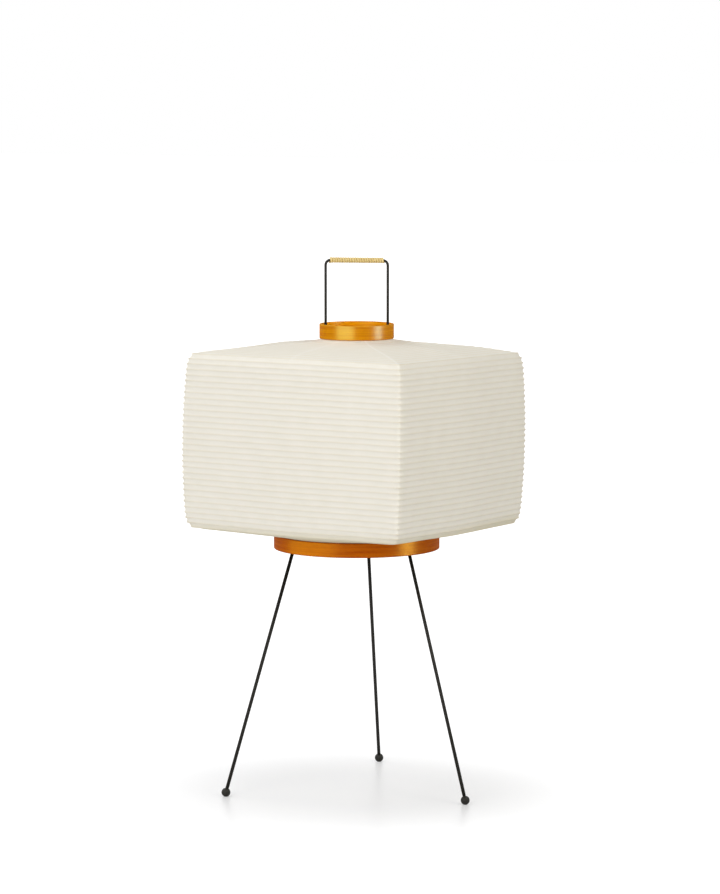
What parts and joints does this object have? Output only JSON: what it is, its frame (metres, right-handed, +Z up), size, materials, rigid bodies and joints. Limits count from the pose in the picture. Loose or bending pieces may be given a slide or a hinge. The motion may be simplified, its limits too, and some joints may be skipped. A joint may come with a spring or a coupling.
{
  "type": "paper lamp",
  "caption": "Square ribbed paper lantern lamp between bent wood rings, on a splayed black wire stand with ball feet and a wound carrying handle.",
  "frame": {"origin": "on the surface that the lamp stands on, below the common axis of the two rings", "axes": "+Z up along the lamp axis; +X and +Y square out of two faces of the shade; the wire stand is turned 21.5 degrees about +Z against the shade"},
  "size_m": [0.3765, 0.3652, 0.74],
  "materials": {
    "pasted_paper": "matte",
    "split_bamboo": "matte",
    "lacquered_wood": "gloss",
    "black_wire": "satin",
    "black_rubber": "satin",
    "wound_rattan": "satin",
    "plated_steel": "satin",
    "brass": "satin",
    "black_phenolic": "satin",
    "white_ceramic": "satin",
    "opal_glass": "satin",
    "bulb_cap_metal": "satin",
    "black_insulator": "gloss"
  },
  "bodies": {
    "stand": {"shade_paper": "pasted_paper", "shade_ribs": "split_bamboo", "bottom_ring": "lacquered_wood", "base_hoop": "black_wire", "leg_rear": "black_wire", "leg_left": "black_wire", "leg_right": "black_wire", "handle_rod": "black_wire", "socket_bridge": "black_wire", "ring_bracket_right": "black_wire", "ring_bracket_left": "black_wire", "ring_bracket_front": "black_wire", "foot_rear": "black_rubber", "foot_left": "black_rubber", "foot_right": "black_rubber", "grip_wrap": "wound_rattan", "handle_nuts": "plated_steel", "tube_washer": "plated_steel", "tube_lock_nut": "plated_steel", "threaded_tube": "plated_steel", "bracket_screws": "brass", "terminal_screws": "brass", "screw_shell": "brass", "centre_contact": "brass", "holder_cup": "black_phenolic", "holder_sleeve": "black_phenolic", "cord_bush": "black_phenolic", "holder_core": "white_ceramic"},
    "upper_ring": {"top_ring": "lacquered_wood", "slide_clip_left": "black_wire", "slide_clip_right": "black_wire", "clip_tacks": "brass"},
    "bulb": {"bulb_glass": "opal_glass", "bulb_cap": "bulb_cap_metal", "bulb_collar": "black_insulator", "bulb_tip": "brass"}
  },
  "joints": [
    {"name": "shade_collapse", "type": "slide", "parent": "stand", "child": "upper_ring", "axis": [0, 0, 1], "range_m": [-0.2, 0], "deforming": ["shade_paper", "shade_ribs"]},
    {"name": "bulb_turn", "type": "hinge", "parent": "stand", "child": "bulb", "pos_m": [0, 0, 0.39], "axis": [0, 0, 1], "range_deg": [0, 1080]}
  ]
}
